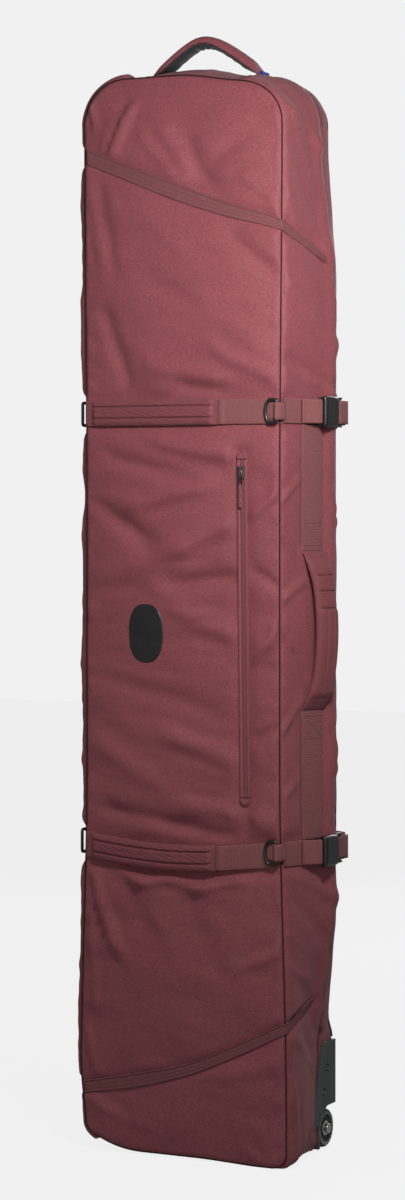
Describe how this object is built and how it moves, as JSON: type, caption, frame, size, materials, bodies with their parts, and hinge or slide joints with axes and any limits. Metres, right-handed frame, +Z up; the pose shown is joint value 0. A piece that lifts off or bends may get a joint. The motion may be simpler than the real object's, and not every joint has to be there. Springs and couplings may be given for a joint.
{
  "type": "snowboard bag",
  "caption": "Tall padded snowboard bag on corner wheels, with a zipped side-opening lid, compression straps with buckles, and top and side carry handles.",
  "frame": {"origin": "on the standing base, under the middle of the bag, at floor level", "axes": "+X to the bag's right seen from its front, +Y towards its padded back, +Z up along its length"},
  "size_m": [0.4232, 0.2278, 1.733],
  "materials": {
    "shell_fabric": "matte",
    "webbing": "matte",
    "zip_tape": "matte",
    "black_fabric": "matte",
    "buckle_plastic": "satin",
    "housing_plastic": "matte",
    "wheel_rubber": "matte",
    "steel": "satin",
    "stiffener": "matte",
    "emblem_print": "gloss",
    "blue_tab": "matte"
  },
  "bodies": {
    "tray": {"back_panel": "black_fabric", "tray_wall_right": "shell_fabric", "tray_wall_left": "shell_fabric", "tray_top": "shell_fabric", "tray_bottom": "black_fabric", "back_board": "stiffener", "tie_strap_upper": "black_fabric", "tie_strap_lower": "black_fabric", "zip_tape_tray": "zip_tape", "wheel_housing_right": "housing_plastic", "wheel_housing_left": "housing_plastic", "axle_right": "steel", "axle_left": "steel", "housing_bolt_right_upper": "steel", "housing_bolt_right_lower": "steel", "housing_bolt_left_upper": "steel", "housing_bolt_left_lower": "steel", "rear_strap_upper": "webbing", "rear_strap_lower": "webbing"},
    "lid": {"front_panel": "shell_fabric", "side_panel_right": "shell_fabric", "side_panel_left": "shell_fabric", "top_panel": "shell_fabric", "bottom_panel": "shell_fabric", "strap_pad_upper": "shell_fabric", "strap_pad_lower": "shell_fabric", "haul_handle": "shell_fabric", "grab_handle": "shell_fabric", "pocket_cap_top": "shell_fabric", "pocket_cap_bottom": "shell_fabric", "band_upper": "webbing", "band_lower": "webbing", "strap_webbing_upper": "webbing", "strap_webbing_lower": "webbing", "side_webbing_upper": "webbing", "side_webbing_lower": "webbing", "haul_webbing_upper": "webbing", "haul_webbing_lower": "webbing", "zip_tape_lid": "zip_tape", "pocket_zip": "black_fabric", "buckle_female_upper": "buckle_plastic", "buckle_female_lower": "buckle_plastic", "emblem": "emblem_print", "grab_tab": "blue_tab"},
    "wheel_right": {"wheel_right": "wheel_rubber"},
    "wheel_left": {"wheel_left": "wheel_rubber"},
    "pocket_slider": {"pocket_slider": "steel"},
    "pocket_pull": {"pocket_pull": "buckle_plastic"},
    "buckle_male_upper": {"buckle_male_upper": "buckle_plastic", "buckle_tail_upper": "webbing"},
    "buckle_male_lower": {"buckle_male_lower": "buckle_plastic", "buckle_tail_lower": "webbing"},
    "zip_slider_upper": {"zip_slider_upper": "buckle_plastic"},
    "zip_slider_lower": {"zip_slider_lower": "buckle_plastic"},
    "zip_pull_upper": {"zip_pull_upper": "buckle_plastic"},
    "zip_pull_lower": {"zip_pull_lower": "buckle_plastic"},
    "d_ring_right_upper": {"d_ring_right_upper": "buckle_plastic"},
    "d_ring_right_lower": {"d_ring_right_lower": "buckle_plastic"},
    "d_ring_left_upper": {"d_ring_left_upper": "buckle_plastic"},
    "d_ring_left_lower": {"d_ring_left_lower": "buckle_plastic"}
  },
  "joints": [
    {"name": "lid_open", "type": "hinge", "parent": "tray", "child": "lid", "pos_m": [-0.193, 0.04, 0], "axis": [0, 0, -1], "range_deg": [0, 110]},
    {"name": "wheel_right_spin", "type": "hinge", "parent": "tray", "child": "wheel_right", "pos_m": [0.1525, 0.082, 0.03], "axis": [1, 0, 0], "continuous": true},
    {"name": "wheel_left_spin", "type": "hinge", "parent": "tray", "child": "wheel_left", "pos_m": [-0.1525, 0.082, 0.03], "axis": [1, 0, 0], "continuous": true},
    {"name": "pocket_zip_slide", "type": "slide", "parent": "lid", "child": "pocket_slider", "axis": [0.0111, 0, -0.9999], "range_m": [0, 0.482]},
    {"name": "pocket_pull_swing", "type": "hinge", "parent": "pocket_slider", "child": "pocket_pull", "pos_m": [0.10437, -0.10243, 1.0554], "axis": [-1, 0, 0], "range_deg": [0, 120]},
    {"name": "upper_buckle_release", "type": "slide", "parent": "tray", "child": "buckle_male_upper", "axis": [0, 1, 0], "range_m": [0, 0.028]},
    {"name": "lower_buckle_release", "type": "slide", "parent": "tray", "child": "buckle_male_lower", "axis": [0, 1, 0], "range_m": [0, 0.028]},
    {"name": "upper_slider_slide", "type": "slide", "parent": "tray", "child": "zip_slider_upper", "axis": [0, 0, 1], "range_m": [0, 0.78]},
    {"name": "lower_slider_slide", "type": "slide", "parent": "tray", "child": "zip_slider_lower", "axis": [0, 0, -1], "range_m": [0, 0.1]},
    {"name": "upper_pull_swing", "type": "hinge", "parent": "zip_slider_upper", "child": "zip_pull_upper", "pos_m": [0.19802, 0.04, 0.5359], "axis": [0, -1, 0], "range_deg": [0, 120]},
    {"name": "lower_pull_swing", "type": "hinge", "parent": "zip_slider_lower", "child": "zip_pull_lower", "pos_m": [0.19802, 0.04, 0.5179], "axis": [0, -1, 0], "range_deg": [0, 120]},
    {"name": "d_ring_right_upper_swing", "type": "hinge", "parent": "lid", "child": "d_ring_right_upper", "pos_m": [0.1635, -0.0991, 1.144], "axis": [0, 0, 1], "range_deg": [0, 150]},
    {"name": "d_ring_right_lower_swing", "type": "hinge", "parent": "lid", "child": "d_ring_right_lower", "pos_m": [0.1635, -0.1005, 0.478], "axis": [0, 0, 1], "range_deg": [0, 150]},
    {"name": "d_ring_left_upper_swing", "type": "hinge", "parent": "lid", "child": "d_ring_left_upper", "pos_m": [-0.17766, -0.084, 1.144], "axis": [0, 0, 1], "range_deg": [0, 120]},
    {"name": "d_ring_left_lower_swing", "type": "hinge", "parent": "lid", "child": "d_ring_left_lower", "pos_m": [-0.17861, -0.084, 0.478], "axis": [0, 0, 1], "range_deg": [0, 120]}
  ]
}
